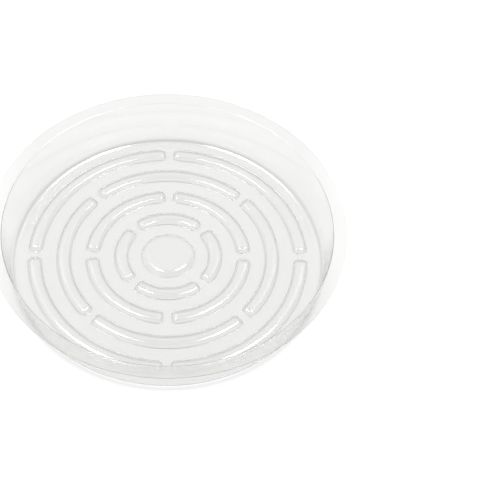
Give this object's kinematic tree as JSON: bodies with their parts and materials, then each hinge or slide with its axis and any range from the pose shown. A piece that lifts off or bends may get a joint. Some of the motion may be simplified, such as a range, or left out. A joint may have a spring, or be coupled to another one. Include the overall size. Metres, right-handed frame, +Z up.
{
  "type": "plant saucer",
  "caption": "Round clear plastic plant saucer with a level lip, a leaning wall and raised arc ribs that hold a pot's foot above drained water.",
  "frame": {"origin": "centre of the underside of the floor, on the surface the saucer stands on", "axes": "+Z up along the axis of the round pan; +X and +Y point at gaps between the outer ribs"},
  "size_m": [0.254, 0.254, 0.0356],
  "materials": {
    "clear_plastic": "clear thermoformed sheet, smooth and glossy on both faces"
  },
  "bodies": {
    "root": {"rim_lip": "clear_plastic", "side_wall": "clear_plastic", "heel_bend": "clear_plastic", "floor_web": "clear_plastic", "centre_boss": "clear_plastic", "ring_1_rib_1": "clear_plastic", "ring_1_rib_2": "clear_plastic", "ring_1_rib_3": "clear_plastic", "ring_1_rib_4": "clear_plastic", "ring_2_rib_1": "clear_plastic", "ring_2_rib_2": "clear_plastic", "ring_2_rib_3": "clear_plastic", "ring_2_rib_4": "clear_plastic", "ring_3_rib_1": "clear_plastic", "ring_3_rib_2": "clear_plastic", "ring_3_rib_3": "clear_plastic", "ring_3_rib_4": "clear_plastic", "ring_4_rib_1": "clear_plastic", "ring_4_rib_2": "clear_plastic", "ring_4_rib_3": "clear_plastic", "ring_4_rib_4": "clear_plastic"}
  },
  "joints": []
}
